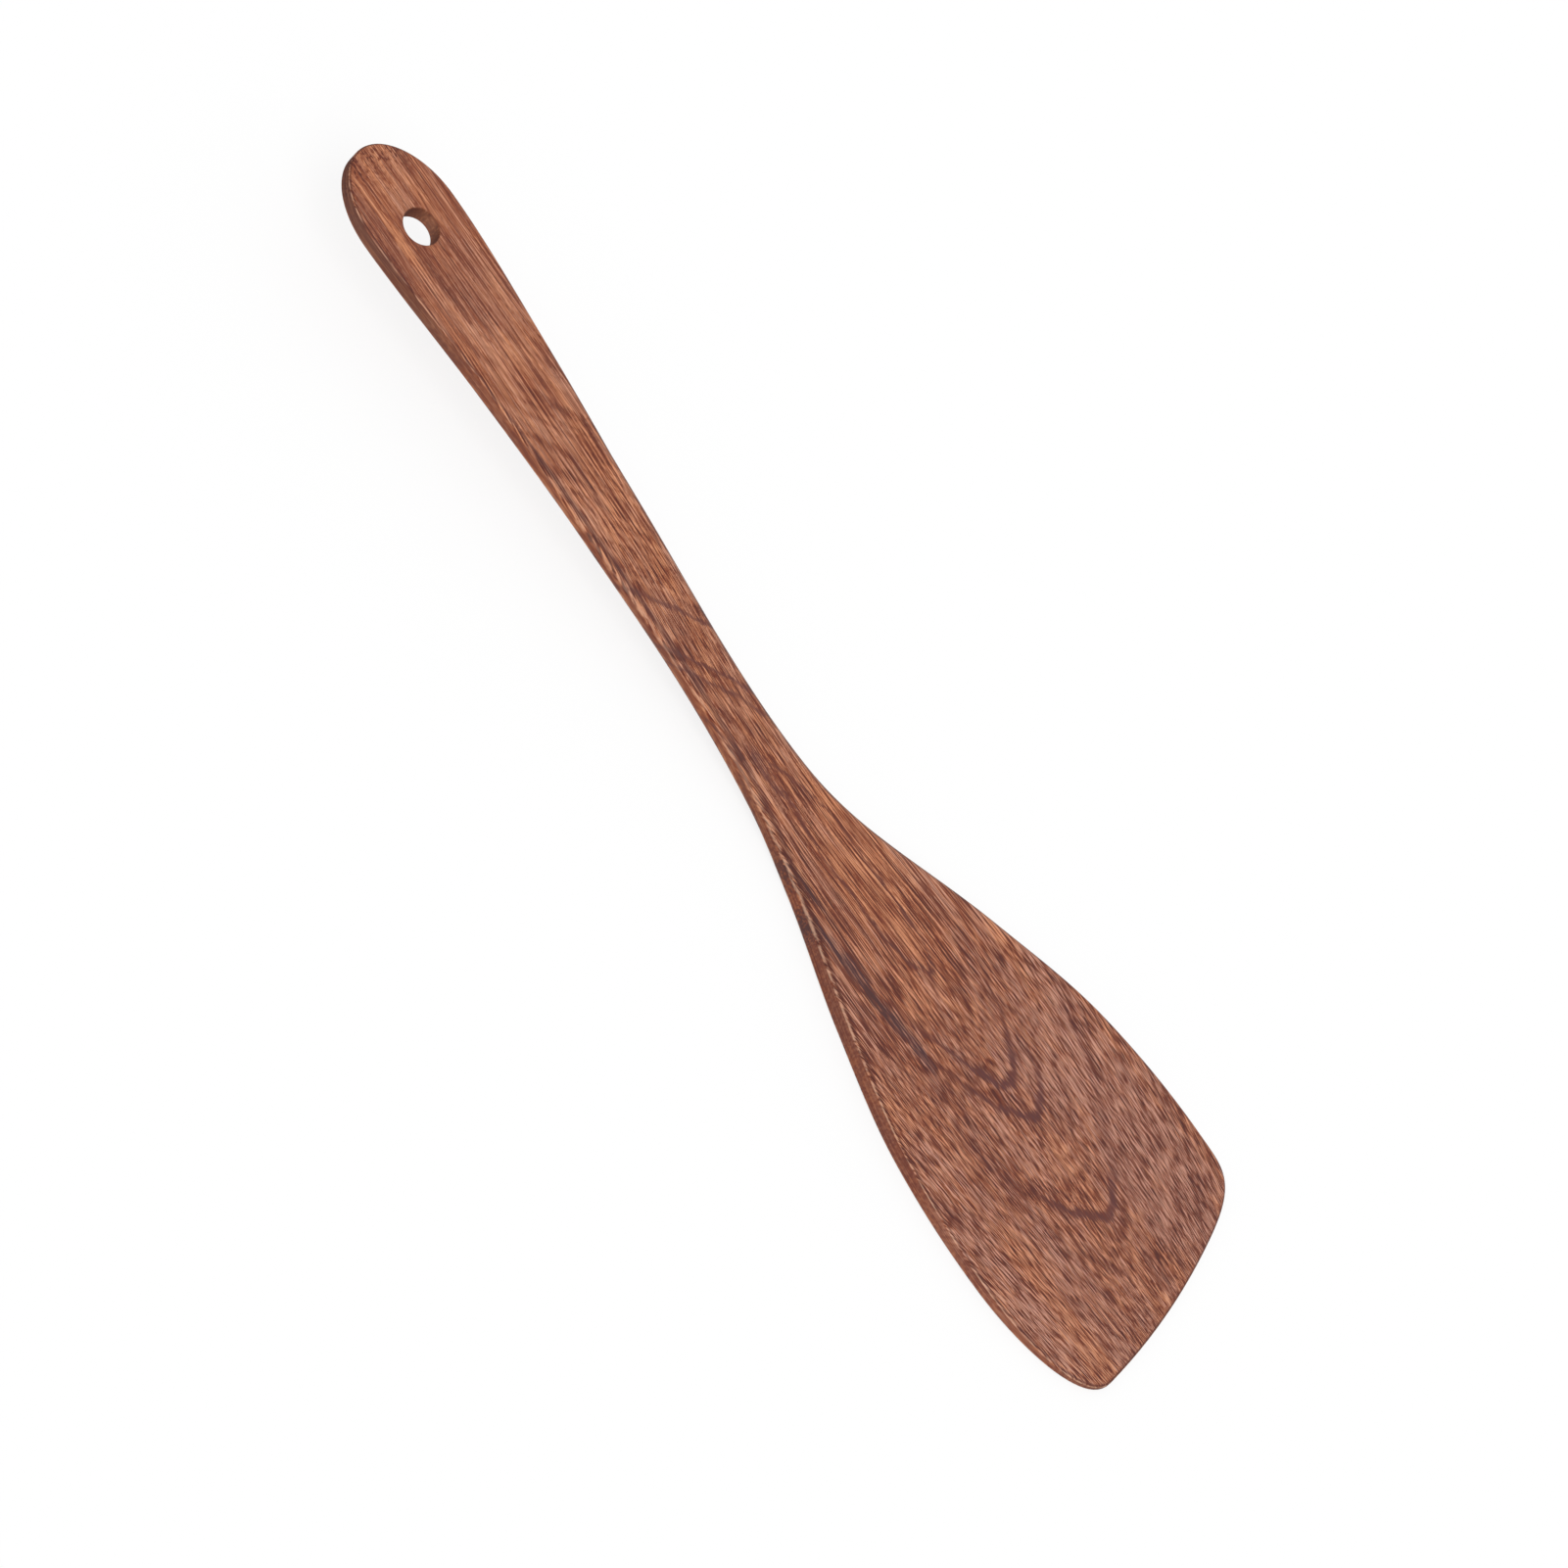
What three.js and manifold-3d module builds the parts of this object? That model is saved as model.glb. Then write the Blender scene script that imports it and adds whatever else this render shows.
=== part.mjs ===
// Wooden spatula carved from one piece of hardwood: a flat blade with a slanted front edge, a slim neck,
// and a rising handle that ends in a rounded paddle with a hanging hole.
// Millimetres. X runs from the handle end to the front edge, Y across the blade, Z up from the blade's back.
import * as THREE from "three";
import { mergeVertices } from "three/addons/utils/BufferGeometryUtils.js";
import Module from "manifold-3d";

const wasm = await Module();
wasm.setup();

// Outline stations, each a distance from the handle end and the full width there
const overallLength = 350;
const paddleX = 21;
const paddleWidth = 30;
const gripX = 68;
const gripWidth = 24.2;
const lowerGripX = 112;
const lowerGripWidth = 19.9;
const neckX = 154;
const neckWidth = 16.4;
const shoulderX = 186;
const shoulderWidth = 20.3;
const heelX = 208;
const heelWidth = 31.6;
const flareX = 242;
const flareWidth = 57.8;
const bellyX = 276;
const bellyWidth = 79;
const bladeX = 315;
const bladeWidth = 86.8;

// Front edge: one wide arc, its centre well to the long side of the blade
const frontRadius = 216;
const frontCentreY = -53;
const longCornerY = -28;
const longCornerSide = 14.4;
const longCornerFront = 11;
const shortCornerY = 27;
const shortCornerSide = 9.2;
const shortCornerFront = 19;

// Side profile: the underside is flat from the heel to the front edge and sweeps up to the handle end,
// where paddleLift is the last part of the rise
const handleRise = 20.7;
const heelSweep = 34;
const paddleSweep = 110;
const paddleLift = 3.1;

// Thickness
const paddleThickness = 5;
const heelThickness = 6.8;
const frontThickness = 2.4;
const thinHandleX = 60;

// Rounding of the edges, and the most of the thickness that one edge may take
const paddleEdge = 0.8;
const gripEdge = 2;
const bladeEdge = 1;
const edgeLimit = 0.42;

// Hanging hole, with the drill running past both faces
const holeX = 24.2;
const holeDiameter = 10.2;
const holeEase = 0.35;
const drillPast = 2;

// Smoothness of the mesh
const endSteps = 12;
const handleSteps = 30;
const bladeSteps = 16;
const cornerSteps = 9;
const frontSteps = 6;
const edgeSteps = 3;
const holeSides = 48;
const mergeDistance = 1e-4;
const halvings = 40;

const lerp = THREE.MathUtils.lerp;
const smoothstep = THREE.MathUtils.smoothstep;

// Half width of the outline at a distance from the handle end, as a smooth curve through the stations
const stations = [
  new THREE.Vector2(paddleX, paddleWidth / 2),
  new THREE.Vector2(gripX, gripWidth / 2),
  new THREE.Vector2(lowerGripX, lowerGripWidth / 2),
  new THREE.Vector2(neckX, neckWidth / 2),
  new THREE.Vector2(shoulderX, shoulderWidth / 2),
  new THREE.Vector2(heelX, heelWidth / 2),
  new THREE.Vector2(flareX, flareWidth / 2),
  new THREE.Vector2(bellyX, bellyWidth / 2),
  new THREE.Vector2(bladeX, bladeWidth / 2),
];

function stationSlope(i) {
  if (i === 0 || i === stations.length - 1) return 0;
  const before = stations[i - 1];
  const after = stations[i + 1];
  return (after.y - before.y) / (after.x - before.x);
}

function halfWidth(x) {
  const last = stations.length - 2;
  const found = stations.findIndex((_, i) => i <= last && x <= stations[i + 1].x);
  const i = found < 0 ? last : found;
  const a = stations[i];
  const b = stations[i + 1];
  const span = b.x - a.x;
  const t = Math.min(1, Math.max(0, (x - a.x) / span));
  const rise = t * t * (3 - 2 * t);
  const leave = t * (1 - t) * (1 - t) * span * stationSlope(i);
  const arrive = t * t * (1 - t) * span * stationSlope(i + 1);
  return lerp(a.y, b.y, rise) + leave - arrive;
}

// Front edge arc, which reaches the overall length where the long corner begins
const frontCentreX = overallLength - Math.sqrt(frontRadius ** 2 - (longCornerY - frontCentreY) ** 2);

function frontPoint(y) {
  return new THREE.Vector2(frontCentreX + Math.sqrt(frontRadius ** 2 - (y - frontCentreY) ** 2), y);
}

// Corner from the straight side of the blade to a point on the front edge
function corner(side, frontY, sideReach, frontReach) {
  const start = new THREE.Vector2(bladeX, side * halfWidth(bladeX));
  const end = frontPoint(frontY);
  const along = new THREE.Vector2(-(frontY - frontCentreY), end.x - frontCentreX).normalize();
  const sideHandle = start.clone().add(new THREE.Vector2(sideReach, 0));
  const frontHandle = end.clone().addScaledVector(along, side * frontReach);
  return new THREE.CubicBezierCurve(start, sideHandle, frontHandle, end);
}

// One side of the outline from the handle end to the middle of the front edge
function outlineSide(side, frontY, sideReach, frontReach) {
  const points = [];
  for (let i = 0; i < endSteps; i += 1) {
    const angle = (Math.PI / 2) * (i / endSteps);
    const x = paddleX * (1 - Math.cos(angle));
    points.push(new THREE.Vector2(x, (side * Math.sin(angle) * paddleWidth) / 2));
  }
  for (let i = 0; i < handleSteps; i += 1) {
    const x = lerp(paddleX, heelX, i / handleSteps);
    points.push(new THREE.Vector2(x, side * halfWidth(x)));
  }
  for (let i = 0; i < bladeSteps; i += 1) {
    const x = lerp(heelX, bladeX, i / bladeSteps);
    points.push(new THREE.Vector2(x, side * halfWidth(x)));
  }
  points.push(...corner(side, frontY, sideReach, frontReach).getPoints(cornerSteps));
  const frontMiddleY = (longCornerY + shortCornerY) / 2;
  for (let i = 1; i <= frontSteps; i += 1) {
    points.push(frontPoint(lerp(frontY, frontMiddleY, i / frontSteps)));
  }
  return points;
}

// Height of the underside, from a sweep that leaves the flat back level and eases off again towards the paddle
const sweep = new THREE.CubicBezierCurve(
  new THREE.Vector2(heelX, 0),
  new THREE.Vector2(heelX - heelSweep, 0),
  new THREE.Vector2(paddleSweep, handleRise - paddleLift),
  new THREE.Vector2(0, handleRise),
);

function undersideHeight(x) {
  if (x >= heelX) return 0;
  let low = 0;
  let high = 1;
  for (let i = 0; i < halvings; i += 1) {
    const middle = (low + high) / 2;
    if (sweep.getPoint(middle).x > x) low = middle;
    else high = middle;
  }
  return sweep.getPoint((low + high) / 2).y;
}

// Thickness grows along the handle to the heel, then thins to the front edge
function thickness(point) {
  if (point.x < heelX) {
    return lerp(paddleThickness, heelThickness, smoothstep(point.x, thinHandleX, heelX));
  }
  const bladeLength = frontPoint(point.y).x - heelX;
  const share = Math.min(1, (point.x - heelX) / bladeLength);
  return lerp(heelThickness, frontThickness, share * share);
}

// Edges are crisp round the paddle, soft along the grip and eased round the blade
function edgeRadius(point) {
  const handle = lerp(paddleEdge, gripEdge, smoothstep(point.x, thinHandleX, lowerGripX));
  const radius = lerp(handle, bladeEdge, smoothstep(point.x, shoulderX, flareX));
  return Math.min(radius, edgeLimit * thickness(point));
}

// Closed outline, anticlockwise from above, starting at the handle end
function outlineLoop() {
  const long = outlineSide(-1, longCornerY, longCornerSide, longCornerFront);
  const short = outlineSide(1, shortCornerY, shortCornerSide, shortCornerFront);
  return [...long, ...short.slice(1, -1).reverse()];
}

function outwardNormal(loop, i) {
  const before = loop[(i + loop.length - 1) % loop.length];
  const after = loop[(i + 1) % loop.length];
  return new THREE.Vector2(after.y - before.y, before.x - after.x).normalize();
}

// One ring round the body: quarter 0 lies on a face, quarter 1 on the upright side
function edgeRing(loop, onTop, quarter) {
  const angle = (Math.PI / 2) * quarter;
  return loop.map((point, i) => {
    const radius = edgeRadius(point);
    const inset = radius * (1 - Math.sin(angle));
    const step = radius * (1 - Math.cos(angle));
    const place = point.clone().addScaledVector(outwardNormal(loop, i), -inset);
    const low = undersideHeight(place.x);
    const z = onTop ? low + thickness(place) - step : low + step;
    return new THREE.Vector3(place.x, place.y, z);
  });
}

// Closed solid between the underside and the top face, with rounded edges all round
function bodyGeometry() {
  const loop = outlineLoop();
  const count = loop.length;
  const half = count / 2;
  const rings = [];
  for (let i = 0; i <= edgeSteps; i += 1) rings.push(edgeRing(loop, false, i / edgeSteps));
  for (let i = edgeSteps; i >= 0; i -= 1) rings.push(edgeRing(loop, true, i / edgeSteps));

  const index = [];
  for (let r = 0; r < rings.length - 1; r += 1) {
    for (let i = 0; i < count; i += 1) {
      const next = (i + 1) % count;
      const a = r * count + i;
      const b = r * count + next;
      index.push(a, b, b + count, a, b + count, a + count);
    }
  }
  const top = (rings.length - 1) * count;
  for (let k = 0; k < half; k += 1) {
    const longA = k;
    const longB = k + 1;
    const shortA = (count - k) % count;
    const shortB = count - k - 1;
    if (longB !== shortB) {
      index.push(top + longA, top + longB, top + shortB);
      index.push(longA, shortB, longB);
    }
    if (longA !== shortA) {
      index.push(top + longA, top + shortB, top + shortA);
      index.push(longA, shortA, shortB);
    }
  }

  const geometry = new THREE.BufferGeometry();
  const positions = rings.flat().flatMap((p) => [p.x, p.y, p.z]);
  geometry.setAttribute("position", new THREE.Float32BufferAttribute(positions, 3));
  geometry.setIndex(index);
  return geometry;
}

// Drill for the hanging hole, square to the paddle's face, with a slight ease at both rims
function holeGeometry() {
  const radius = holeDiameter / 2;
  const depth = thickness(new THREE.Vector2(holeX, 0)) / 2;
  const profile = [
    new THREE.Vector2(0, -depth - drillPast),
    new THREE.Vector2(radius + holeEase + drillPast, -depth - drillPast),
    new THREE.Vector2(radius, -depth + holeEase),
    new THREE.Vector2(radius, depth - holeEase),
    new THREE.Vector2(radius + holeEase + drillPast, depth + drillPast),
    new THREE.Vector2(0, depth + drillPast),
  ];
  const ahead = undersideHeight(holeX + radius);
  const behind = undersideHeight(holeX - radius);
  const slope = Math.atan2(ahead - behind, 2 * radius);
  const geometry = new THREE.LatheGeometry(profile, holeSides);
  geometry.rotateX(Math.PI / 2);
  geometry.rotateY(-slope);
  geometry.translate(holeX, 0, undersideHeight(holeX) + depth);
  return geometry;
}

// Solid for cutting, from a closed geometry
function solidOf(geometry) {
  geometry.deleteAttribute("normal");
  geometry.deleteAttribute("uv");
  const merged = mergeVertices(geometry, mergeDistance);
  const mesh = new wasm.Mesh({
    numProp: 3,
    vertProperties: new Float32Array(merged.attributes.position.array),
    triVerts: new Uint32Array(merged.index.array),
  });
  return new wasm.Manifold(mesh);
}

function geometryOf(solid) {
  const mesh = solid.getMesh();
  const geometry = new THREE.BufferGeometry();
  geometry.setAttribute("position", new THREE.BufferAttribute(mesh.vertProperties, 3));
  geometry.setIndex(new THREE.BufferAttribute(mesh.triVerts, 1));
  return geometry;
}

// The body with its hole, centred over its own footprint
function spatulaBody() {
  const geometry = geometryOf(solidOf(bodyGeometry()).subtract(solidOf(holeGeometry())));
  geometry.computeBoundingBox();
  const box = geometry.boundingBox;
  geometry.translate(-(box.min.x + box.max.x) / 2, -(box.min.y + box.max.y) / 2, -box.min.z);
  geometry.computeVertexNormals();
  const wood = new THREE.MeshStandardMaterial({ color: 0x976553, roughness: 0.5, metalness: 0 });
  const mesh = new THREE.Mesh(geometry, wood);
  mesh.name = "spatula_body";
  return mesh;
}

const spatula = new THREE.Group();
spatula.add(spatulaBody());

export default spatula;
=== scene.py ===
# Wooden spatula: its carved body in streaked reddish-brown hardwood, on a pale studio floor.
# X runs from the handle end to the front edge, Y across the blade, Z up from the blade's back.
import math

import bmesh
import bpy
from mathutils import Matrix, Vector


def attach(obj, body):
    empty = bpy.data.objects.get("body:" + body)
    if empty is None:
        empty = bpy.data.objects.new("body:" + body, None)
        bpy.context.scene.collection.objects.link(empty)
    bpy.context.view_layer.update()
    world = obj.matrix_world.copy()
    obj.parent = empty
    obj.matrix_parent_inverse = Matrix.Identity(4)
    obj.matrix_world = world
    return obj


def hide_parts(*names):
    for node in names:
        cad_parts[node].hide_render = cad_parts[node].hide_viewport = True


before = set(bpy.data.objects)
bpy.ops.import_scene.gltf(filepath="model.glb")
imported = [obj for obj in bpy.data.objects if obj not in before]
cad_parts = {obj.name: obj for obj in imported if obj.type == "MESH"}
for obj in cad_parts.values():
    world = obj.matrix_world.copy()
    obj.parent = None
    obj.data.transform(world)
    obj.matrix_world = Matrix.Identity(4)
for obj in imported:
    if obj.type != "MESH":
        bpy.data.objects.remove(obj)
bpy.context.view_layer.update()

# Sizes are in millimetres, with X from the handle end, and MM turns them into metres
MM = 0.001

# Outline stations, each a distance from the handle end and the full width there
OVERALL_LENGTH = 350
END_X = 0.02
PADDLE_X, PADDLE_WIDTH = 21, 30
GRIP_X, GRIP_WIDTH = 68, 24.2
LOWER_GRIP_X, LOWER_GRIP_WIDTH = 112, 19.9
NECK_X, NECK_WIDTH = 154, 16.4
SHOULDER_X, SHOULDER_WIDTH = 186, 20.3
HEEL_X, HEEL_WIDTH = 208, 31.6
FLARE_X, FLARE_WIDTH = 242, 57.8
BELLY_X, BELLY_WIDTH = 276, 79
BLADE_X, BLADE_WIDTH = 315, 86.76

# Front edge: one wide arc, its centre well to the long side of the blade
FRONT_X = 349.95
FRONT_RADIUS = 216
FRONT_CENTRE_Y = -53
LONG_CORNER_Y, LONG_CORNER_SIDE, LONG_CORNER_FRONT = -28, 14.4, 11
SHORT_CORNER_Y, SHORT_CORNER_SIDE, SHORT_CORNER_FRONT = 27, 9.2, 19

# Side profile of the underside, and the thickness
HANDLE_RISE = 20.7
HEEL_SWEEP = 34
PADDLE_SWEEP = 110
PADDLE_LIFT = 3.1
PADDLE_THICKNESS = 5
HEEL_THICKNESS = 6.8
FRONT_THICKNESS = 2.4
THIN_HANDLE_X = 60

# Rounding of the edges, and the most of the thickness that one edge may take
PADDLE_EDGE = 0.8
GRIP_EDGE = 2
BLADE_EDGE = 1
EDGE_LIMIT = 0.42

# The grip and heel have a softer edge on top: so many times the rounding above, with a limit of its own
TOP_EDGE, TOP_EDGE_LIMIT = 1.6, 0.5

# Hanging hole
HOLE_X = 24.2
HOLE_DIAMETER = 10.2
HOLE_EASE = 0.35

# Mesh: the faces are a ring of quads round the hole up to SPLIT_X, then rows across to the front edge
SPLIT_X = 50
END_STEPS = 26
NEAR_STEPS = 14
SIDE_STEPS = 150
CORNER_STEPS = 12
FRONT_STEPS = 30
EDGE_STEPS = 6
WALL_STEPS = 4
HOLE_RINGS = 12
EASE_STEPS = 3
HALVINGS = 34
SAME_POINT = 0.0001

# Share of the rows, counted from the split, after which they bulge like the front edge
BULGE_START = 0.5

# How far the hole's eased rim shows bare wood like the hole's wall
EASED_BORE = 0.5


def lerp(a, b, share):
    return a + (b - a) * share


def smooth(x, start, end):
    share = min(1, max(0, (x - start) / (end - start)))
    return share * share * (3 - 2 * share)


# Half width of the outline at a distance from the handle end, as a smooth curve through the stations
STATIONS = [
    (PADDLE_X, PADDLE_WIDTH / 2),
    (GRIP_X, GRIP_WIDTH / 2),
    (LOWER_GRIP_X, LOWER_GRIP_WIDTH / 2),
    (NECK_X, NECK_WIDTH / 2),
    (SHOULDER_X, SHOULDER_WIDTH / 2),
    (HEEL_X, HEEL_WIDTH / 2),
    (FLARE_X, FLARE_WIDTH / 2),
    (BELLY_X, BELLY_WIDTH / 2),
    (BLADE_X, BLADE_WIDTH / 2),
]


def station_slope(i):
    if i in (0, len(STATIONS) - 1):
        return 0
    before, after = STATIONS[i - 1], STATIONS[i + 1]
    return (after[1] - before[1]) / (after[0] - before[0])


def half_width(x):
    last = len(STATIONS) - 2
    i = next((k for k in range(last) if x <= STATIONS[k + 1][0]), last)
    (start, low), (end, high) = STATIONS[i], STATIONS[i + 1]
    span = end - start
    t = min(1, max(0, (x - start) / span))
    leave = t * (1 - t) ** 2 * span * station_slope(i)
    arrive = t * t * (1 - t) * span * station_slope(i + 1)
    return lerp(low, high, t * t * (3 - 2 * t)) + leave - arrive


# Front edge arc, which is furthest from the handle end where the long corner begins
FRONT_CENTRE_X = FRONT_X - math.sqrt(FRONT_RADIUS**2 - (LONG_CORNER_Y - FRONT_CENTRE_Y) ** 2)


def front_point(y):
    return Vector((FRONT_CENTRE_X + math.sqrt(FRONT_RADIUS**2 - (y - FRONT_CENTRE_Y) ** 2), y))


def bezier(points, t):
    a, b, c, d = points
    s = 1 - t
    return a * s**3 + b * (3 * s * s * t) + c * (3 * s * t * t) + d * t**3


def corner(side, front_y, side_reach, front_reach):
    """Control points from the straight side of the blade to a point on the front edge."""
    start = Vector((BLADE_X, side * half_width(BLADE_X)))
    end = front_point(front_y)
    along = Vector((FRONT_CENTRE_Y - front_y, end.x - FRONT_CENTRE_X)).normalized()
    return start, start + Vector((side_reach, 0)), end + along * (side * front_reach), end


def outline_side(side, front_y, side_reach, front_reach):
    """One side in three runs: round the handle end, along to mid corner, and on to the front."""
    tail = []
    for i in range(END_STEPS):
        angle = math.pi / 2 * i / END_STEPS
        x = lerp(PADDLE_X, END_X, math.cos(angle))
        tail.append(Vector((x, side * PADDLE_WIDTH / 2 * math.sin(angle))))
    for i in range(NEAR_STEPS + 1):
        x = lerp(PADDLE_X, SPLIT_X, i / NEAR_STEPS)
        tail.append(Vector((x, side * half_width(x))))
    run = []
    for i in range(1, SIDE_STEPS + 1):
        x = lerp(SPLIT_X, BLADE_X, i / SIDE_STEPS)
        run.append(Vector((x, side * half_width(x))))
    bend = corner(side, front_y, side_reach, front_reach)
    turn = [bezier(bend, i / (2 * CORNER_STEPS)) for i in range(1, 2 * CORNER_STEPS + 1)]
    return tail, run + turn[:CORNER_STEPS], turn[CORNER_STEPS:]


# Underside height, from a sweep that leaves the flat back level and eases off again towards the paddle
SWEEP = [
    Vector((HEEL_X, 0)),
    Vector((HEEL_X - HEEL_SWEEP, 0)),
    Vector((PADDLE_SWEEP, HANDLE_RISE - PADDLE_LIFT)),
    Vector((0, HANDLE_RISE)),
]


def underside(x):
    if x >= HEEL_X:
        return 0
    low, high = 0, 1
    for _ in range(HALVINGS):
        middle = (low + high) / 2
        if bezier(SWEEP, middle).x > x:
            low = middle
        else:
            high = middle
    return bezier(SWEEP, (low + high) / 2).y


def thickness(x, y):
    if x < HEEL_X:
        return lerp(PADDLE_THICKNESS, HEEL_THICKNESS, smooth(x, THIN_HANDLE_X, HEEL_X))
    share = min(1, (x - HEEL_X) / (front_point(y).x - HEEL_X))
    return lerp(HEEL_THICKNESS, FRONT_THICKNESS, share * share)


def edge_radius(x, y, on_top):
    """Rounding of an edge, which is softer on top of the grip and heel."""
    on_grip = smooth(x, THIN_HANDLE_X, LOWER_GRIP_X)
    handle = lerp(PADDLE_EDGE, GRIP_EDGE, on_grip)
    radius = lerp(handle, BLADE_EDGE, smooth(x, SHOULDER_X, FLARE_X))
    softer = on_grip * (1 - smooth(x, FLARE_X, BELLY_X)) if on_top else 0
    limit = lerp(EDGE_LIMIT, TOP_EDGE_LIMIT, softer)
    return min(radius * lerp(1, TOP_EDGE, softer), limit * thickness(x, y))


def lifted(point, on_top, step=0):
    """A point of the plan, raised to the top face or the underside and moved step into the wood."""
    low = underside(point.x)
    z = low + thickness(point.x, point.y) - step if on_top else low + step
    return Vector((point.x, point.y, z))


class Outline:
    """The closed outline from above, anticlockwise from the handle end, and where its runs meet."""

    def __init__(self):
        long_corner = (LONG_CORNER_Y, LONG_CORNER_SIDE, LONG_CORNER_FRONT)
        short_corner = (SHORT_CORNER_Y, SHORT_CORNER_SIDE, SHORT_CORNER_FRONT)
        long_tail, long_run, long_front = outline_side(-1, *long_corner)
        short_tail, short_run, short_front = outline_side(1, *short_corner)
        arc = []
        for i in range(1, FRONT_STEPS):
            arc.append(front_point(lerp(LONG_CORNER_Y, SHORT_CORNER_Y, i / FRONT_STEPS)))
        back = short_tail[1:] + short_run + short_front
        self.points = long_tail + long_run + long_front + arc + back[::-1]
        self.count = len(self.points)
        self.long_split = len(long_tail) - 1
        self.long_corner = self.long_split + len(long_run)
        self.short_split = self.count - self.long_split
        self.short_corner = self.short_split - len(short_run)

    def normal(self, i):
        before = self.points[i - 1]
        after = self.points[(i + 1) % self.count]
        return Vector((after.y - before.y, before.x - after.x)).normalized()

    def ring(self, on_top, quarter):
        """One ring round the body: quarter 0 lies on a face, quarter 1 on the upright side."""
        angle = math.pi / 2 * quarter
        ring = []
        for i, point in enumerate(self.points):
            radius = edge_radius(point.x, point.y, on_top)
            place = point - self.normal(i) * radius * (1 - math.sin(angle))
            ring.append(lifted(place, on_top, radius * (1 - math.cos(angle))))
        return ring


def face_rows(outline, on_top):
    """Rows across the handle and blade, from the split row to the front edge."""
    edge = [p.to_2d() for p in outline.ring(on_top, 0)]
    front = edge[outline.long_corner : outline.short_corner + 1]
    reach = [0]
    for a, b in zip(front, front[1:]):
        reach.append(reach[-1] + (b - a).length)
    shares = [r / reach[-1] for r in reach]
    last = outline.long_corner - outline.long_split
    rows = []
    for i in range(last + 1):
        left = edge[outline.long_split + i]
        right = edge[outline.short_split - i]
        bulge = smooth(i / last, BULGE_START, 1)
        row = []
        for share, tip in zip(shares, front):
            chord = front[0].lerp(front[-1], share)
            row.append(lifted(left.lerp(right, share) + (tip - chord) * bulge, on_top))
        rows.append(row)
    return rows


def hole_centre(on_top):
    """Where the hole's axis, square to the paddle, meets a face."""
    radius = HOLE_DIAMETER / 2
    slope = (underside(HOLE_X + radius) - underside(HOLE_X - radius)) / HOLE_DIAMETER
    half = thickness(HOLE_X, 0) / 2
    return Vector((HOLE_X - slope * half if on_top else HOLE_X + slope * half, 0))


def hole_ring(toward, on_top, quarter):
    """Ring at the hole's eased rim: quarter 0 lies on the face and quarter 1 on the wall."""
    angle = math.pi / 2 * quarter
    radius = HOLE_DIAMETER / 2 + HOLE_EASE * (1 - math.sin(angle))
    centre = hole_centre(on_top)
    ring = []
    for point in toward:
        place = centre + (point.to_2d() - Vector((HOLE_X, 0))).normalized() * radius
        ring.append(lifted(place, on_top, HOLE_EASE * (1 - math.cos(angle))))
    return ring


def paddle_loop(outline, on_top, split_row):
    """Loop round the paddle's face: the handle end and the split row."""
    edge = outline.ring(on_top, 0)
    tail = edge[outline.short_split :] + edge[: outline.long_split + 1]
    return tail + split_row[1:-1]


def add_sheet(mesh, rows, closed, rim, bore=0):
    """Quads between rows of points: rim is 0 on a face and 1 on the side, bore is 1 in the hole."""
    rim_layer = mesh.verts.layers.float["rim"]
    bore_layer = mesh.verts.layers.float["bore"]
    rise_layer = mesh.verts.layers.float["rise"]
    made = []
    for row, share in zip(rows, rim):
        line = []
        for point in row:
            vert = mesh.verts.new(Vector((point.x - OVERALL_LENGTH / 2, point.y, point.z)) * MM)
            vert[rim_layer] = share
            vert[bore_layer] = bore
            vert[rise_layer] = underside(point.x)
            line.append(vert)
        made.append(line)
    for a, b in zip(made, made[1:]):
        count = len(a)
        for i in range(count if closed else count - 1):
            j = (i + 1) % count
            mesh.faces.new((a[i], a[j], b[j], b[i]))


def body_mesh():
    """The whole body as one closed mesh: rounded sides, both faces, and the hole with its eased rims."""
    mesh = bmesh.new()
    for name in ("rim", "bore", "rise"):
        mesh.verts.layers.float.new(name)
    outline = Outline()
    quarters = [i / EDGE_STEPS for i in range(EDGE_STEPS + 1)]
    under = [outline.ring(False, q) for q in quarters]
    over = [outline.ring(True, q) for q in quarters]
    wall = []
    for i in range(1, WALL_STEPS):
        wall.append([a.lerp(b, i / WALL_STEPS) for a, b in zip(under[-1], over[-1])])
    add_sheet(mesh, under + wall + over[::-1], True, quarters + [1] * len(wall) + quarters[::-1])

    eased = [i / EASE_STEPS for i in range(EASE_STEPS + 1)]
    hole_walls = []
    for on_top in (False, True):
        rows = face_rows(outline, on_top)
        add_sheet(mesh, rows, False, [0] * len(rows))
        loop = paddle_loop(outline, on_top, rows[0])
        rims = [hole_ring(loop, on_top, q) for q in eased]
        rings = []
        for k in range(HOLE_RINGS + 1):
            between = [a.to_2d().lerp(b.to_2d(), k / HOLE_RINGS) for a, b in zip(rims[0], loop)]
            rings.append([lifted(p, on_top) for p in between])
        add_sheet(mesh, rings, True, [0] * len(rings))
        add_sheet(mesh, rims, True, [0] * len(rims), EASED_BORE)
        hole_walls.append(rims[-1])
    steps = []
    for i in range(WALL_STEPS + 1):
        steps.append([a.lerp(b, i / WALL_STEPS) for a, b in zip(*hole_walls)])
    add_sheet(mesh, steps, True, [0] * len(steps), 1)

    bmesh.ops.remove_doubles(mesh, verts=mesh.verts, dist=SAME_POINT * MM)
    bmesh.ops.recalc_face_normals(mesh, faces=mesh.faces)
    for face in mesh.faces:
        face.smooth = True
    data = bpy.data.meshes.new("spatula_wood")
    mesh.to_mesh(data)
    mesh.free()
    return data


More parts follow.
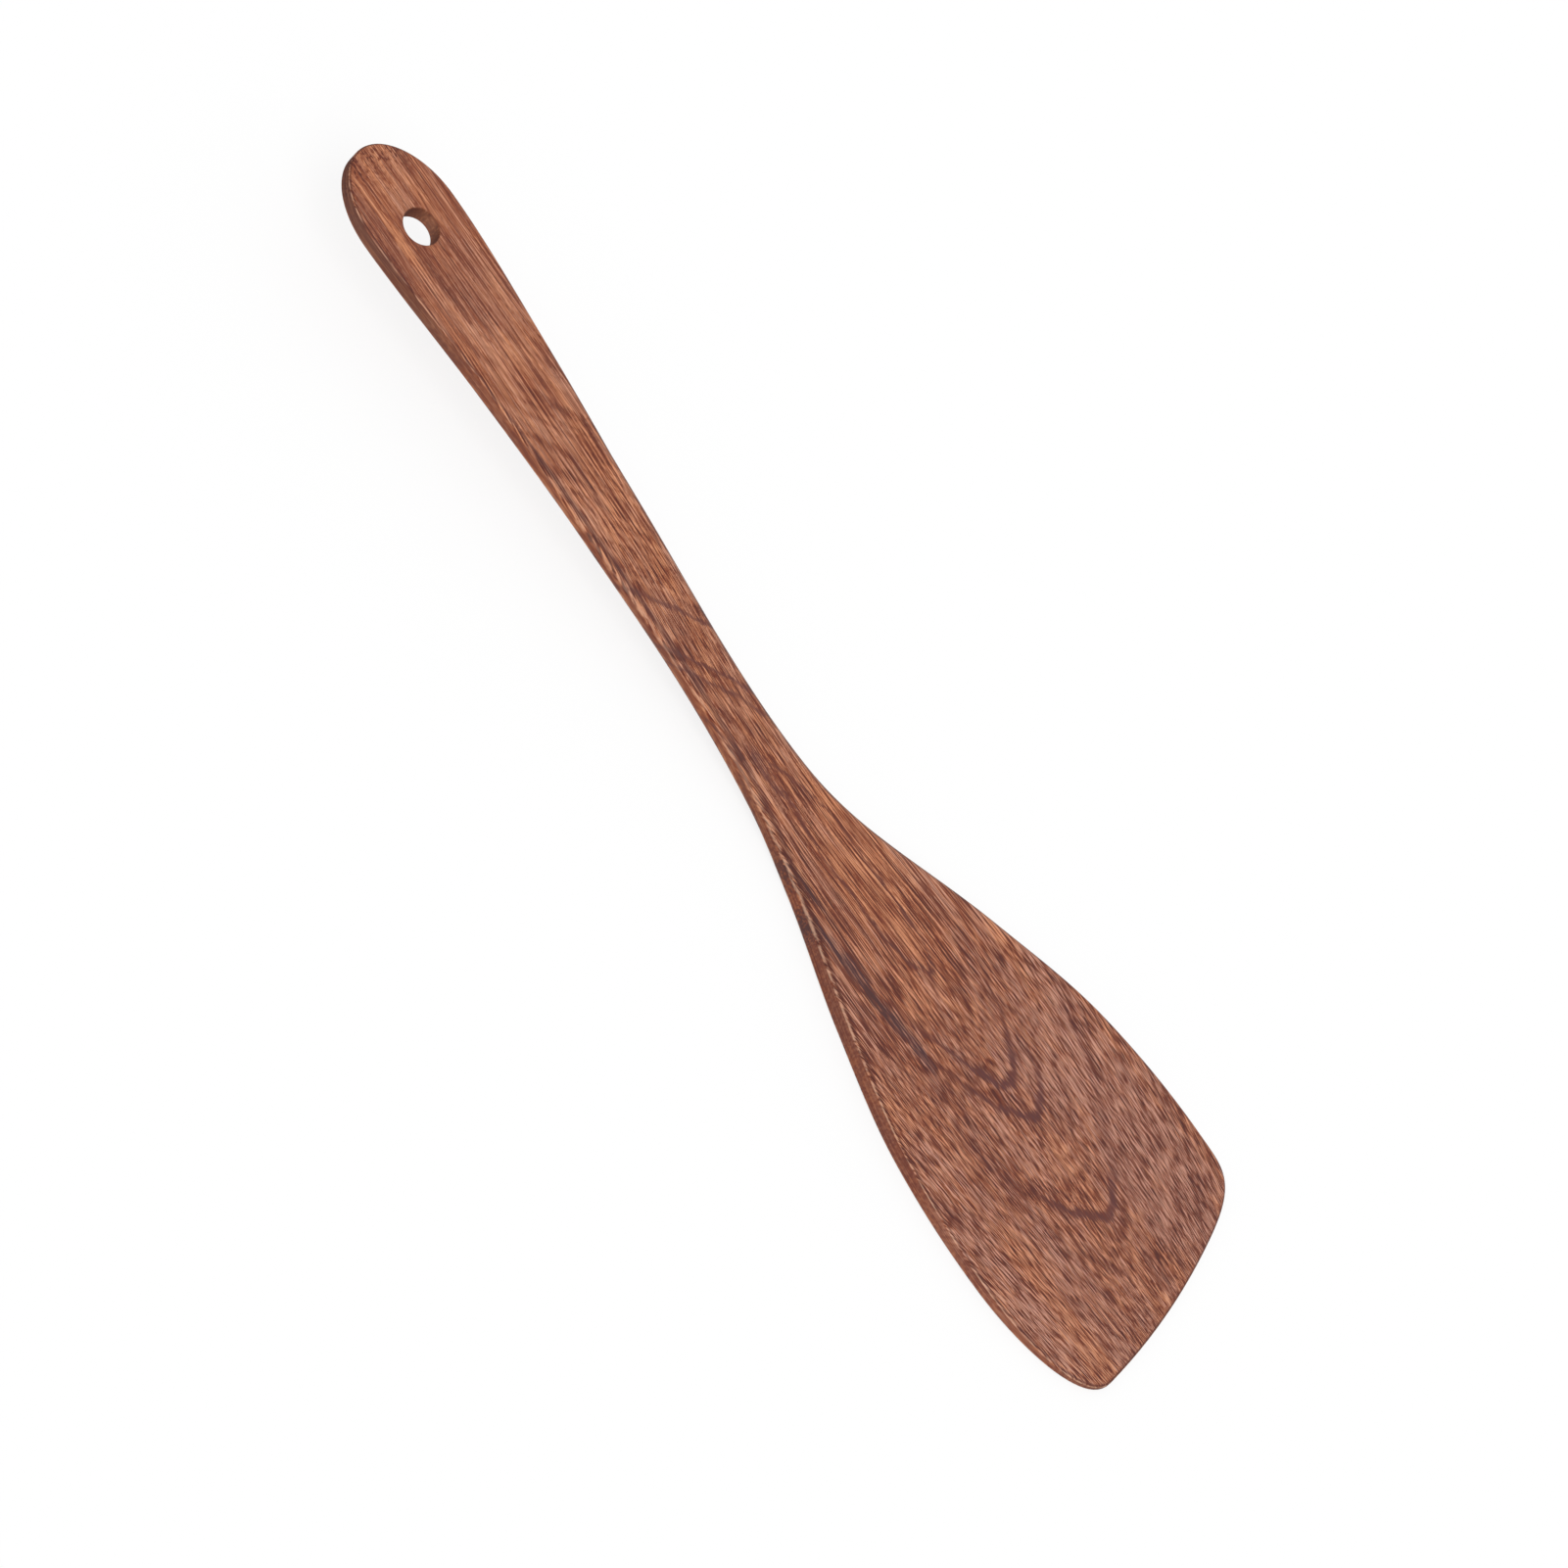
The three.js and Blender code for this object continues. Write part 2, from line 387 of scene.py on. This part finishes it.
# Wood tones, as seen in even light
INK = (70, 44, 47)
CHARCOAL = (76, 32, 23)
PLUM = (97, 57, 55)
DARK = (103, 43, 26)
RED_BROWN = (123, 61, 40)
BROWN = (144, 84, 60)
TAN = (172, 112, 84)
PALE = (203, 148, 121)
WEAR_AND_HIGHLIGHT_COLOUR = (214, 168, 140)
BORE = (150, 94, 66)
TONE_STOPS = ((0.02, CHARCOAL), (0.18, DARK), (0.34, RED_BROWN), (0.50, BROWN), (0.68, TAN), (0.90, PALE))

# Tone of plain wood on that scale, and what the blade adds to it
MIDDLE_TONE, BLADE_TONE = 0.495, -0.045

# The figure changes between the handle and the blade over this stretch
FIGURE_CHANGE_START, FIGURE_CHANGE_END = 165, 215

# Detail of a noise: how many finer layers it has
PLAIN, SOFT, ROUGH = 0.0, 1.0, 2.0

# Slow wander of the grain: length, width and reach
WANDER_LENGTH, WANDER_WIDTH, WANDER = 90, 26, 4

# Fibre streaks: each run is a distance from the handle end and the streak length from there on
STREAK_RUNS = ((0, 26), (100, 7), (190, 13), (245, 4.5))
RUN_BLEND = 20
STREAK_WIDTH, STREAK_DEPTH = 0.24, 1.2
STREAK_SOFTNESS = 0.16
STREAK_TONE = 1.12
PADDLE_STREAK_TONE, PADDLE_STREAK_END = 0.55, 110
HAIR_LENGTH, HAIR_WIDTH, HAIR_TONE = 0.7, 0.16, 0.7
BAND_LENGTH, BAND_WIDTH, BAND_TONE = 30, 1.5, 0.2
CLOUD_LENGTH, CLOUD_WIDTH, CLOUD_TONE = 60, 9, 0.3

# Streaks spread over the heel, are widest apart at FAN_X and draw together again towards the front
FAN_FROM, FAN_X, FAN = 190, 265, 0.00004

# Growth layers lie round the tree's middle, far to one side of the handle and sinking away under the blade
PITH_DEPTH = 3
PITH_HANDLE_Y, PITH_BLADE_Y = -90, 1.5
PITH_TURN_START, PITH_TURN_END = 40, 200
SINK_START, SINK_BLEND, SINK_SLOPE, SINK_CURVE = 232, 15, 0.21, 0.002
LAYER_ROUNDNESS = 1.5
WOBBLE_LENGTH, WOBBLE_WIDTH, WOBBLE = 16, 5, 3
LAYER_LENGTH, LAYER_SPREAD = 45, 14
FINE_LAYER, FINE_SOFTNESS, FINE_TONE = 0.5, 0.12, 0.45
COARSE_LAYER, COARSE_TONE = 1.7, 0.9
HANDLE_LAYERS = 0.9
FLANK_START, FLANK_END, FLANK_LAYERS = 6, 24, 0.55

# Fibres break the layers into jags along the grain
JAG_LENGTH, JAG_WIDTH = 5, 0.25
LAYER_JAG, RING_JAG, DARK_STREAK_JAG = 5, 2.3, 6

# The darkest layers: distance from the tree's middle and half width, and the share that is fully dark
DARK_RINGS = ((12.3, 0.45), (22.2, 0.75), (26.1, 0.8), (39, 1.1))
RING_CORE = 0.3

# They fade towards the flanks, and are weaker on the handle than on the blade
RING_FADE_START, RING_FADE_END, RING_FLANK = 5, 15, 0.2
HANDLE_RING_TONE, BLADE_RING_TONE = -0.15, -0.6
RING_PLUM = 0.65

# Ovals, each with its middle, half length, half width and strength, which fades to 0 at OVAL_END
OVAL_END = 1.6
DARK_STREAKS = (
    (209, -14, 12, 1.6, 1),
    (222, -18.5, 12, 1.6, 1.4),
    (238, -17.5, 12, 1.7, 1.5),
    (254, -16, 11, 1.4, 1.4),
)
DARK_STREAK_BREAKS, DARK_STREAK_GAPS = (0.02, 0.12), 0.25
DARK_STREAK_INK = 0.8
TONE_PATCHES = (
    (236, -14, 42, 7, -0.05),
    (284, -16, 34, 12, -0.08),
    (297, 21, 42, 15, 0.13),
    (331, 12, 14, 9, -0.04),
    (322, -30, 30, 12, 0.06),
    (216, -3, 22, 8, 0.1),
    (6, 0, 14, 15, 0.12),
)
HUE_PATCHES = (
    (304, 22, 40, 16, -0.2),
    (222, 2, 36, 9, 0.25),
)

# Tints that multiply the wood's colour: warm on the handle, cool on the blade, golden and grey flecks
WARM = (1.06, 0.99, 0.91, 1)
COOL = (1, 0.97, 1, 1)
WARM_END, COOL_START = 170, 300
GOLDEN = (1.06, 0.98, 0.8, 1)
GREYED = (0.94, 1, 1.08, 1)
HUE_LENGTH, HUE_WIDTH, HUE_SOFTNESS = 1.6, 0.5, 0.2
HUE_CLOUD_LENGTH, HUE_CLOUD_WIDTH = 26, 7

# Pores, and the dots of cut fibre ends at the handle's tip
PORE_LENGTH, PORE_WIDTH = 4, 0.26
PORE_START, PORE_END, PORE_DARKENING = 0.08, 0.2, 0.5
TIP_DOT_LENGTH, TIP_DOT_WIDTH, TIP_DOT_END = 1.3, 0.5, 0.14
TIP_START, TIP_END, TIP_TONE = 4, 13, -0.5

# Upright side, past WALL_START of the edge's rounding, with a weaker figure, its own streaks and painted
# shade
WALL_START = 0.7
SIDE_FIGURE = 0.15
SIDE_STREAK_LENGTH, SIDE_STREAK_WIDTH, SIDE_STREAK_TONE = 18, 0.35, 1.0
END_SIDE_SHADE, GRIP_SIDE_SHADE, BLADE_SIDE_SHADE = 0.56, 0.84, 0.92

# The grip, with less painted shade on its side and less wear and painted highlight on its edge, begins and
# ends over these stretches
GRIP_RISE, GRIP_FALL = (35, 75), (165, 210)

# Dark end grain, which also stands in for painted shade on sides that face along the grain, and the bare
# wall of the hole
END_GRAIN_AND_SHADE_DARKENING, END_POWER = 0.85, 1.4
BORE_COVER = 0.7

# Rounded edge, as shares of its turn from the face: a dark line of painted shade, then a broken pale line
# that is partly wear and partly painted highlight
SHADE_LINE_RISE, SHADE_LINE_FALL, SHADE_LINE_DARKENING = (0.15, 0.4), (0.5, 0.62), 0.6
WEAR_AND_HIGHLIGHT_RISE, WEAR_AND_HIGHLIGHT_FALL, WEAR_AND_HIGHLIGHT_STRENGTH = (0.55, 0.72), (0.78, 0.95), 0.65
WEAR_AND_HIGHLIGHT_LENGTH, WEAR_AND_HIGHLIGHT_WIDTH, WEAR_AND_HIGHLIGHT_BREAKS = 7, 1, (-0.12, 0.1)
GRIP_WEAR_AND_HIGHLIGHT = 0.35

# Oiled satin surface
ROUGHNESS, ROUGHNESS_CHANGE = 0.5, 0.25
END_ROUGHNESS = 0.5
SPECULAR = 0.3
STREAK_HEIGHT = 0.5
BUMP_STRENGTH, BUMP_HEIGHT = 0.35, 0.1


def linear(colour):
    """Linear values of a colour written as it shows on a screen, with alpha."""
    values = []
    for c in colour:
        share = c / 255
        values.append(share / 12.92 if share <= 0.04045 else ((share + 0.055) / 1.055) ** 2.4)
    return (*values, 1)


class Graph:
    """Adds shader nodes to a material or world and links them as they are made."""

    def __init__(self, owner):
        owner.use_nodes = True
        self.tree = owner.node_tree
        self.tree.nodes.clear()

    def node(self, kind, inputs=None, **settings):
        made = self.tree.nodes.new(kind)
        for name, value in settings.items():
            setattr(made, name, value)
        for key, value in (inputs or {}).items():
            if isinstance(value, bpy.types.NodeSocket):
                self.tree.links.new(value, made.inputs[key])
            else:
                made.inputs[key].default_value = value
        return made

    def math(self, operation, a, b=0.0, c=0.0):
        return self.node("ShaderNodeMath", {0: a, 1: b, 2: c}, operation=operation).outputs[0]

    def add(self, a, b):
        return self.math("ADD", a, b)

    def minus(self, a, b):
        return self.math("SUBTRACT", a, b)

    def times(self, a, b):
        return self.math("MULTIPLY", a, b)

    def times_add(self, a, b, c):
        return self.math("MULTIPLY_ADD", a, b, c)

    def size(self, value):
        return self.math("ABSOLUTE", value)

    def larger(self, a, b):
        return self.math("MAXIMUM", a, b)

    def between(self, share, low, high):
        """A value from low, where share is 0, to high, where it is 1."""
        return self.times_add(share, high - low, low)

    def past(self, value, start, blend):
        """How far a value lies past start, with a soft bend there."""
        return self.math("SMOOTH_MAX", self.minus(value, start), 0.0, blend)

    def vector(self, x, y, z):
        return self.node("ShaderNodeCombineXYZ", {0: x, 1: y, 2: z}).outputs[0]

    def noise(self, place, sizes, detail):
        """Noise about 0, with a typical size in each direction."""
        spot = self.vector(*(self.times(p, 1 / size) for p, size in zip(place, sizes)))
        inputs = {"Vector": spot, "Scale": 1.0, "Detail": detail}
        return self.minus(self.node("ShaderNodeTexNoise", inputs).outputs[0], 0.5)

    def step(self, value, start, end, low=0.0, high=1.0):
        inputs = {"Value": value, "From Min": start, "From Max": end, "To Min": low, "To Max": high}
        return self.node("ShaderNodeMapRange", inputs, interpolation_type="SMOOTHSTEP").outputs[0]

    def ridge(self, value, rise, fall):
        """1 between the end of the rise and the start of the fall, 0 outside them."""
        return self.times(self.step(value, *rise), self.step(value, *fall, 1.0, 0.0))

    def ramp(self, value, stops):
        made = self.node("ShaderNodeValToRGB", {0: value})
        elements = made.color_ramp.elements
        while len(elements) < len(stops):
            elements.new(0.5)
        for element, (position, colour) in zip(elements, stops):
            element.position = position
            element.color = linear(colour)
        return made.outputs[0]

    def mix(self, share, a, b, blend="MIX"):
        inputs = {0: share, 6: a, 7: b}
        return self.node("ShaderNodeMix", inputs, data_type="RGBA", blend_type=blend).outputs[2]

    def tint(self, colour, factor):
        return self.mix(1.0, colour, factor, "MULTIPLY")

    def cover(self, colour, share, strength, paint):
        """A colour with paint laid over it where share is above 0."""
        return self.mix(self.times(share, strength), colour, linear(paint))

    def attribute(self, name):
        return self.node("ShaderNodeAttribute", attribute_name=name).outputs["Fac"]


def board_place(g):
    """Millimetres along, across and through the board, with the slow wander of the grain."""
    place = g.node("ShaderNodeTexCoord").outputs["Object"]
    parts = g.node("ShaderNodeSeparateXYZ", {0: place})
    x = g.times_add(parts.outputs[0], 1 / MM, OVERALL_LENGTH / 2)
    y = g.times(parts.outputs[1], 1 / MM)
    z = g.times(parts.outputs[2], 1 / MM)
    drift = g.noise((x, y, z), (WANDER_LENGTH, WANDER_WIDTH, WANDER_WIDTH), SOFT)
    return x, g.times_add(drift, WANDER, y), z


def fibre_place(g, x, y, z):
    """Streak lengths along the grain, and the place across it, fanned over the blade."""
    along = 0.0
    before = 0
    for start, length in STREAK_RUNS:
        along = g.times_add(g.past(x, start, RUN_BLEND), 1 / length - before, along)
        before = 1 / length
    off = g.minus(g.add(g.past(x, FAN_FROM, RUN_BLEND), FAN_FROM), FAN_X)
    spread = g.times_add(g.times(off, off), FAN, 1.0)
    return along, g.times(y, spread), g.minus(z, g.attribute("rise"))


def layer_radius(g, x, y, z):
    """Distance from the tree's middle, which tells one growth layer from the next."""
    centre = g.step(x, PITH_TURN_START, PITH_TURN_END, PITH_HANDLE_Y, PITH_BLADE_Y)
    across = g.size(g.minus(y, centre))
    past = g.past(x, SINK_START, SINK_BLEND)
    sink = g.times(past, g.times_add(past, SINK_CURVE, SINK_SLOPE))
    depth = g.add(g.add(z, PITH_DEPTH), sink)
    total = g.add(g.math("POWER", across, LAYER_ROUNDNESS), g.math("POWER", depth, LAYER_ROUNDNESS))
    radius = g.math("POWER", total, 1 / LAYER_ROUNDNESS)
    wobble = g.noise((x, y, z), (WOBBLE_LENGTH, WOBBLE_WIDTH, WOBBLE_WIDTH), ROUGH)
    return g.times_add(wobble, WOBBLE, radius)


def end_grain(g):
    """How far a surface faces along the grain."""
    facing = g.node("ShaderNodeTexCoord").outputs["Normal"]
    along = g.node("ShaderNodeSeparateXYZ", {0: facing}).outputs[0]
    return g.math("POWER", g.size(along), END_POWER)


class Grain:
    """Where a point of the surface lies in the wood."""

    def __init__(self, g):
        self.place = board_place(g)
        self.x, self.y = self.place[:2]
        self.fibre = fibre_place(g, *self.place)
        self.layer = layer_radius(g, *self.place)
        self.jag = g.noise(self.place, (JAG_LENGTH, JAG_WIDTH, JAG_WIDTH), SOFT)
        self.streak = g.noise(self.fibre, (1, STREAK_WIDTH, STREAK_DEPTH), SOFT)
        self.off_middle = g.size(self.y)
        self.on_blade = g.step(self.x, FIGURE_CHANGE_START, FIGURE_CHANGE_END)
        self.grip = g.ridge(self.x, GRIP_RISE, GRIP_FALL)
        self.wall = g.step(g.attribute("rim"), WALL_START, 1.0)
        self.end = end_grain(g)


def oval(g, x, y, middle_x, middle_y, reach_x, reach_y, strength):
    """A value of strength in the middle of an oval, fading to 0 outside it."""
    along = g.times_add(x, 1 / reach_x, -middle_x / reach_x)
    across = g.times_add(y, 1 / reach_y, -middle_y / reach_y)
    off = g.add(g.times(along, along), g.times(across, across))
    return g.step(off, 0.0, OVAL_END, strength, 0.0)


def dark_rings(g, grain):
    """1 in the darkest growth layers, fading to 0 beside them."""
    radius = g.times_add(grain.jag, RING_JAG, grain.layer)
    dark = 0.0
    for ring, reach in DARK_RINGS:
        off = g.size(g.minus(radius, ring))
        dark = g.larger(dark, g.step(off, RING_CORE * reach, reach, 1.0, 0.0))
    return g.times(dark, g.step(grain.off_middle, RING_FADE_START, RING_FADE_END, 1.0, RING_FLANK))


def dark_streaks(g, grain):
    """1 in the darkest streaks at the heel, less in the pale fibres that cross them."""
    dark = 0.0
    jagged = g.times_add(grain.jag, DARK_STREAK_JAG, grain.y)
    broken = g.step(grain.streak, *DARK_STREAK_BREAKS, 1.0, DARK_STREAK_GAPS)
    for streak in DARK_STREAKS:
        dark = g.larger(dark, g.times(oval(g, grain.x, jagged, *streak), broken))
    return g.math("MINIMUM", dark, 1.0)


def layer_tone(g, grain):
    """Lighter and darker growth layers, weaker on the handle and towards the flanks."""
    radius = g.times_add(grain.jag, LAYER_JAG, grain.layer)
    place = (grain.x, grain.y, radius)
    fine = g.noise(place, (LAYER_LENGTH, LAYER_SPREAD, FINE_LAYER), SOFT)
    coarse = g.noise(place, (LAYER_LENGTH, LAYER_SPREAD, COARSE_LAYER), SOFT)
    fine = g.step(fine, -FINE_SOFTNESS, FINE_SOFTNESS, -FINE_TONE / 2, FINE_TONE / 2)
    layers = g.times_add(coarse, COARSE_TONE, fine)
    layers = g.times(layers, g.between(grain.on_blade, HANDLE_LAYERS, 1.0))
    return g.times(layers, g.step(grain.off_middle, FLANK_START, FLANK_END, 1.0, FLANK_LAYERS))


def fibre_tone(g, grain):
    """Lighter and darker streaks, hair lines and bands along the grain."""
    strength = g.step(grain.x, 0.0, PADDLE_STREAK_END, PADDLE_STREAK_TONE, STREAK_TONE)
    tone = g.times(g.step(grain.streak, -STREAK_SOFTNESS, STREAK_SOFTNESS, -0.5, 0.5), strength)
    hair = g.noise(grain.fibre, (HAIR_LENGTH, HAIR_WIDTH, STREAK_DEPTH), PLAIN)
    band = g.noise(grain.place, (BAND_LENGTH, BAND_WIDTH, BAND_WIDTH), ROUGH)
    return g.times_add(band, BAND_TONE, g.times_add(hair, HAIR_TONE, tone))


def tip_dots(g, grain):
    """1 in the dots of cut fibre ends at the rounded tip of the handle."""
    dots = g.noise(grain.place, (TIP_DOT_LENGTH, TIP_DOT_WIDTH, TIP_DOT_WIDTH), SOFT)
    return g.times(g.step(dots, 0.0, TIP_DOT_END), g.step(grain.x, TIP_START, TIP_END, 1.0, 0.0))


def wood_tone(g, grain, dark):
    """Place on the scale of wood tones, from 0 for the darkest to 1 for the palest."""
    ring_tone = g.between(grain.on_blade, HANDLE_RING_TONE, BLADE_RING_TONE)
    figure = g.add(layer_tone(g, grain), fibre_tone(g, grain))
    figure = g.times_add(dark, ring_tone, figure)
    figure = g.times(figure, g.between(grain.wall, 1.0, SIDE_FIGURE))
    side = g.noise((grain.x, 0.0, grain.fibre[2]), (SIDE_STREAK_LENGTH, 1, SIDE_STREAK_WIDTH), ROUGH)
    figure = g.times_add(g.times(side, grain.wall), SIDE_STREAK_TONE, figure)
    cloud = g.noise(grain.place, (CLOUD_LENGTH, CLOUD_WIDTH, CLOUD_WIDTH), ROUGH)
    tone = g.times_add(cloud, CLOUD_TONE, g.add(figure, MIDDLE_TONE))
    tone = g.times_add(grain.on_blade, BLADE_TONE, tone)
    tone = g.times_add(tip_dots(g, grain), TIP_TONE, tone)
    for patch in TONE_PATCHES:
        tone = g.add(tone, oval(g, grain.x, grain.y, *patch))
    return tone


def fleck_tint(g, grain):
    """Tint of the golden and grey flecks."""
    hue = g.noise(grain.fibre, (HUE_LENGTH, HUE_WIDTH, HUE_WIDTH), ROUGH)
    hue = g.add(hue, g.noise(grain.place, (HUE_CLOUD_LENGTH, HUE_CLOUD_WIDTH, HUE_CLOUD_WIDTH), ROUGH))
    for patch in HUE_PATCHES:
        hue = g.add(hue, oval(g, grain.x, grain.y, *patch))
    return g.mix(g.step(hue, -HUE_SOFTNESS, HUE_SOFTNESS), GREYED, GOLDEN)


def painted_side_shade(g, grain):
    """Grey level of painted shade that darkens the upright side, most at the handle end."""
    shade = g.between(grain.on_blade, END_SIDE_SHADE, BLADE_SIDE_SHADE)
    shade = g.larger(shade, g.between(grain.grip, END_SIDE_SHADE, GRIP_SIDE_SHADE))
    shade = g.times_add(grain.wall, g.minus(shade, 1.0), 1.0)
    return g.vector(shade, shade, shade)


def wood_colour(g, grain, pores):
    rings = dark_rings(g, grain)
    streaks = dark_streaks(g, grain)
    colour = g.ramp(wood_tone(g, grain, g.larger(rings, streaks)), TONE_STOPS)
    colour = g.cover(colour, rings, RING_PLUM, PLUM)
    colour = g.cover(colour, streaks, DARK_STREAK_INK, INK)
    colour = g.cover(colour, pores, PORE_DARKENING, DARK)
    colour = g.tint(colour, g.mix(g.step(grain.x, WARM_END, COOL_START), WARM, COOL))
    colour = g.tint(colour, fleck_tint(g, grain))
    # Painted shade on the upright side, darkest at the handle end
    colour = g.tint(colour, painted_side_shade(g, grain))
    colour = g.cover(colour, g.attribute("bore"), BORE_COVER, BORE)
    # Dark end grain, partly painted shade on sides that face along the grain, such as the handle end and
    # the front edge
    colour = g.cover(colour, grain.end, END_GRAIN_AND_SHADE_DARKENING, CHARCOAL)
    rim = g.attribute("rim")
    # Painted shade: a dark line along the rounded edge
    colour = g.cover(colour, g.ridge(rim, SHADE_LINE_RISE, SHADE_LINE_FALL), SHADE_LINE_DARKENING, CHARCOAL)
    # A broken pale line along the rounded edge, partly wear and partly painted highlight, weaker on the
    # grip
    breaks = g.noise(grain.place, (WEAR_AND_HIGHLIGHT_LENGTH, WEAR_AND_HIGHLIGHT_WIDTH, WEAR_AND_HIGHLIGHT_WIDTH), ROUGH)
    wear_and_highlight = g.times(g.ridge(rim, WEAR_AND_HIGHLIGHT_RISE, WEAR_AND_HIGHLIGHT_FALL), g.step(breaks, *WEAR_AND_HIGHLIGHT_BREAKS))
    wear_and_highlight = g.times(wear_and_highlight, g.between(grain.grip, 1.0, GRIP_WEAR_AND_HIGHLIGHT))
    return g.cover(colour, wear_and_highlight, WEAR_AND_HIGHLIGHT_STRENGTH, WEAR_AND_HIGHLIGHT_COLOUR)


def wood_material():
    wood = bpy.data.materials.new("hardwood")
    g = Graph(wood)
    grain = Grain(g)
    pore = g.noise((grain.x, *grain.fibre[1:]), (PORE_LENGTH, PORE_WIDTH, STREAK_DEPTH), PLAIN)
    pores = g.times(g.step(pore, PORE_START, PORE_END), g.minus(1.0, grain.wall))
    height = g.minus(g.times(grain.streak, STREAK_HEIGHT), pores)
    bump = g.node("ShaderNodeBump", {
        "Height": height,
        "Strength": BUMP_STRENGTH,
        "Distance": BUMP_HEIGHT * MM,
    })
    rough = g.times_add(grain.streak, ROUGHNESS_CHANGE, ROUGHNESS)
    shader = g.node("ShaderNodeBsdfPrincipled", {
        "Base Color": wood_colour(g, grain, pores),
        "Roughness": g.times_add(grain.end, END_ROUGHNESS, rough),
        "Specular IOR Level": SPECULAR,
        "Normal": bump.outputs[0],
    })
    g.node("ShaderNodeOutputMaterial", {"Surface": shader.outputs[0]})
    return wood


def add_spatula():
    data = body_mesh()
    data.materials.append(wood_material())
    spatula = bpy.data.objects.new("spatula_wood", data)
    bpy.context.scene.collection.objects.link(spatula)
    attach(spatula, "root")
    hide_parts("spatula_body")


# Studio: a pale floor under an even sky, one soft key light, sizes in metres
FLOOR_SIZE = 8
FLOOR_COLOUR = (0.85, 0.85, 0.85, 1)
WHITE = (1, 1, 1, 1)
FLOOR_GLOW = 0.82
SKY_STRENGTH = 0.7
KEY_STRENGTH = 1.2
KEY_SPREAD = math.radians(40)
KEY_FROM = Vector((0.4, -0.55, 0.9))


def seen_ray(g):
    """1 for what is seen straight, mirrored or through something, 0 for what only lights the scene."""
    path = g.node("ShaderNodeLightPath")
    seen = g.larger(path.outputs["Is Camera Ray"], path.outputs["Is Glossy Ray"])
    return g.larger(seen, path.outputs["Is Transmission Ray"])


def add_floor():
    half = FLOOR_SIZE / 2
    data = bpy.data.meshes.new("floor")
    corners = [(-half, -half, 0), (half, -half, 0), (half, half, 0), (-half, half, 0)]
    data.from_pydata(corners, [], [(0, 1, 2, 3)])
    paper = bpy.data.materials.new("floor_paper")
    g = Graph(paper)
    seen = seen_ray(g)
    paint = g.node("ShaderNodeBsdfDiffuse", {"Color": g.mix(seen, FLOOR_COLOUR, WHITE)})
    glow = g.node("ShaderNodeEmission", {"Color": WHITE, "Strength": 1.0})
    share = g.times(seen, FLOOR_GLOW)
    shader = g.node("ShaderNodeMixShader", {0: share, 1: paint.outputs[0], 2: glow.outputs[0]})
    g.node("ShaderNodeOutputMaterial", {"Surface": shader.outputs[0]})
    data.materials.append(paper)
    floor = bpy.data.objects.new("floor", data)
    bpy.context.scene.collection.objects.link(floor)


def add_light():
    world = bpy.data.worlds.new("sky")
    bpy.context.scene.world = world
    g = Graph(world)
    strength = g.times_add(seen_ray(g), 1 - SKY_STRENGTH, SKY_STRENGTH)
    sky = g.node("ShaderNodeBackground", {"Color": WHITE, "Strength": strength})
    g.node("ShaderNodeOutputWorld", {"Surface": sky.outputs[0]})
    key = bpy.data.lights.new("key", "SUN")
    key.energy = KEY_STRENGTH
    key.angle = KEY_SPREAD
    lamp = bpy.data.objects.new("key", key)
    lamp.rotation_euler = KEY_FROM.to_track_quat("Z", "Y").to_euler()
    bpy.context.scene.collection.objects.link(lamp)


# Camera: above the long side, turned so that the spatula runs down to the right
ELEVATION = math.radians(48)
AZIMUTH = math.radians(7)
ROLL = math.radians(47.6)
TARGET = Vector((10.7, -0.17, 7.2)) * MM
FRAME_WIDTH = 382.7 * MM
LENS = 200
SENSOR = 36


def add_camera():
    data = bpy.data.cameras.new("camera")
    data.lens = LENS
    data.sensor_width = SENSOR
    camera = bpy.data.objects.new("camera", data)
    along = Vector((math.cos(AZIMUTH), math.sin(AZIMUTH), 0))
    side = Vector((math.sin(AZIMUTH), -math.cos(AZIMUTH), 0))
    back = side * math.cos(ELEVATION) + Vector((0, 0, math.sin(ELEVATION)))
    up = back.cross(along)
    right = along * math.cos(ROLL) + up * math.sin(ROLL)
    top = up * math.cos(ROLL) - along * math.sin(ROLL)
    turn = Matrix((right, top, back)).transposed().to_4x4()
    place = TARGET + back * (FRAME_WIDTH * LENS / SENSOR)
    camera.matrix_world = Matrix.Translation(place) @ turn
    bpy.context.scene.collection.objects.link(camera)
    bpy.context.scene.camera = camera


add_spatula()
add_floor()
add_light()
add_camera()
bpy.context.scene.view_settings.view_transform = "Standard"
